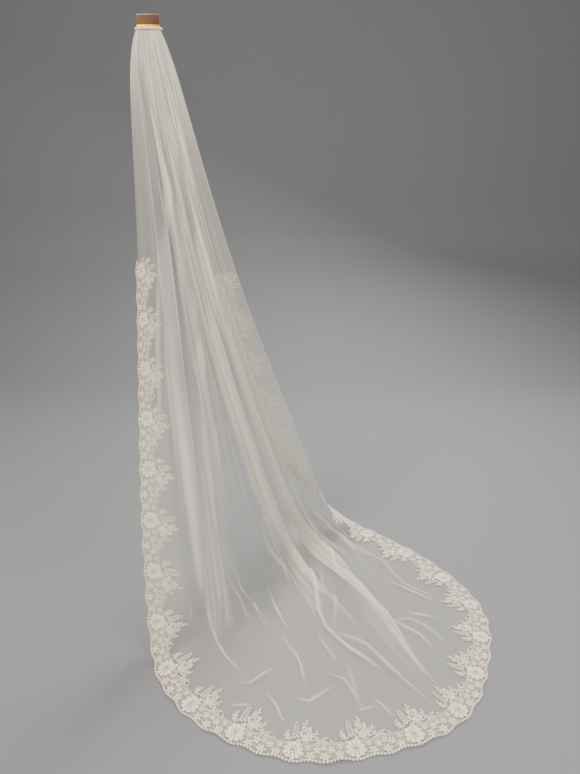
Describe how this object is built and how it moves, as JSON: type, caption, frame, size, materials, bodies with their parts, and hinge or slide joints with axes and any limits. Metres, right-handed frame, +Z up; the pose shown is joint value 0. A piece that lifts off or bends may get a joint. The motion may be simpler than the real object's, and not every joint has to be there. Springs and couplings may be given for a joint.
{
  "type": "bridal veil on a hair comb",
  "caption": "Long cathedral bridal veil: tulle gathered on a hair comb, falling in folds to a round train, with a scalloped floral lace border.",
  "frame": {"origin": "middle of the comb's foot, on top of the gathered binding, where the hair holds the comb", "axes": "+X along the comb to the viewer's right, +Y away from the viewer, +Z up; the train lies 2.03 m below the origin and sweeps to -Y and +X"},
  "size_m": [1.2742, 1.2329, 2.0706],
  "materials": {
    "tulle": "soft ivory net",
    "lace": "corded and embroidered cotton lace",
    "satin": "satin binding",
    "comb": "amber gilt"
  },
  "bodies": {
    "root": {"tulle_panel": "tulle", "lace_left_fall": "lace", "lace_train_left": "lace", "lace_train_front": "lace", "lace_train_right": "lace", "lace_right_fall": "lace", "header_binding": "satin", "hair_comb": "comb"}
  },
  "joints": []
}
